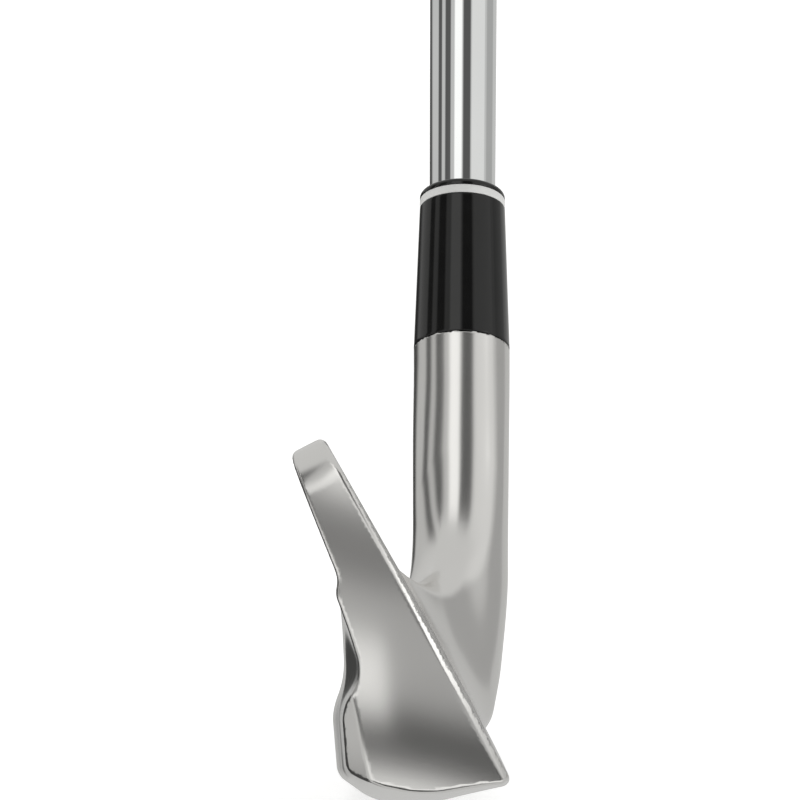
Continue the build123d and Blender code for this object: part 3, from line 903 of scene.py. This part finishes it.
def make_floor():
    """A plain white studio floor that glows a little, as paper lit from below."""
    size, count = 7.0, 8
    steps = [-size + 2 * size * i / count for i in range(count + 1)]
    points = [(x, y, 0.0) for x in steps for y in steps]
    n = count + 1
    faces = [(i * n + j, (i + 1) * n + j, (i + 1) * n + j + 1, i * n + j + 1)
             for i in range(count) for j in range(count)]
    mesh = bpy.data.meshes.new("floor")
    mesh.from_pydata(points, [], faces)
    floor = new_object("floor", mesh)
    shade = Shade("floor_paper")
    shade.set("Base Color", (0.85, 0.85, 0.85, 1))
    shade.set("Roughness", 0.9)
    shade.set("Specular IOR Level", 0.1)
    shade.set("Emission Color", (1, 1, 1, 1))
    shade.set("Emission Strength", 0.62)
    mesh.materials.append(shade.material)
    floor.visible_glossy = False


# The camera, in degrees and millimetres.
CAMERA_AZIMUTH = 2.97
CAMERA_ELEVATION = 4.76
CAMERA_ROLL = 1.95
CAMERA_DISTANCE = 1422.5  # from the lens to the hosel's mouth
CAMERA_ASIDE = 8.77  # from the picture's middle across to the hosel's mouth
CAMERA_BELOW = 7.23  # from the picture's middle up to the hosel's mouth
LENS = 450.0
SENSOR = 36.0


def make_camera():
    """A long lens in front of the toe, a little above it."""
    angles = (CAMERA_AZIMUTH, CAMERA_ELEVATION, CAMERA_ROLL)
    azimuth, elevation, roll = (math.radians(angle) for angle in angles)
    view = np.array([math.sin(azimuth) * math.cos(elevation), math.cos(azimuth) * math.cos(elevation),
                     -math.sin(elevation)])
    right = np.array([math.cos(azimuth), -math.sin(azimuth), 0.0])
    up = np.cross(right, view)
    side = right * math.cos(roll) + up * math.sin(roll)
    top = up * math.cos(roll) - right * math.sin(roll)
    mouth = np.array([AXIS_X, AXIS_Y, 0.0]) + AXIS * HOSEL_TOP
    place = mouth - view * CAMERA_DISTANCE - side * CAMERA_ASIDE - top * CAMERA_BELOW
    data = bpy.data.cameras.new("camera")
    data.lens = LENS
    data.sensor_width = SENSOR
    data.clip_start = 0.05
    data.clip_end = 50.0
    camera = new_object("camera", data)
    turn = Matrix((side, top, -view)).transposed().to_4x4()
    camera.matrix_world = Matrix.Translation(Vector(place * MM)) @ turn
    bpy.context.scene.camera = camera


# ---------------------------------------------------------------- assembly
HEAD_STEP = 0.42
bpy.context.scene.view_settings.view_transform = "Standard"
make_camera()
make_world()
make_floor()
materials = make_materials()
pieces = (
    (make_head(HEAD_STEP), "head_body", "satin_steel"),
    (make_shaft(), "shaft", "shaft_chrome"),
    (make_ferrule(), "ferrule", "ferrule_black"),
    (make_ring(), "ferrule_ring", "ring_white"),
    (make_band(), "shaft_band", "band_film"),
    (make_grip(), "grip", "grip_rubber"),
    (make_cap(), "grip_cap", "cap_rubber"),
    (make_number(), "sole_number_paint", "mark_paint"),
)
for piece, node, slot_name in pieces:
    piece.data.materials.append(materials[slot_name])
    if slot_name != "satin_steel":
        piece.data.set_sharp_from_angle(angle=math.radians(40))
    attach(piece, "root")
    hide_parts(node)
KEPT = {
    "face_plate": "face_steel",
    "toe_weight": "dense_metal",
    "damping_pad": "pad_rubber",
    "cavity_badge": "badge_aluminium",
    "hosel_adhesive": "adhesive",
    "tip_weight": "tip_brass",
    "grip_tape": "tape_paper",
}
for node, slot_name in KEPT.items():
    for material_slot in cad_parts[node].material_slots:
        material_slot.material = materials[slot_name]
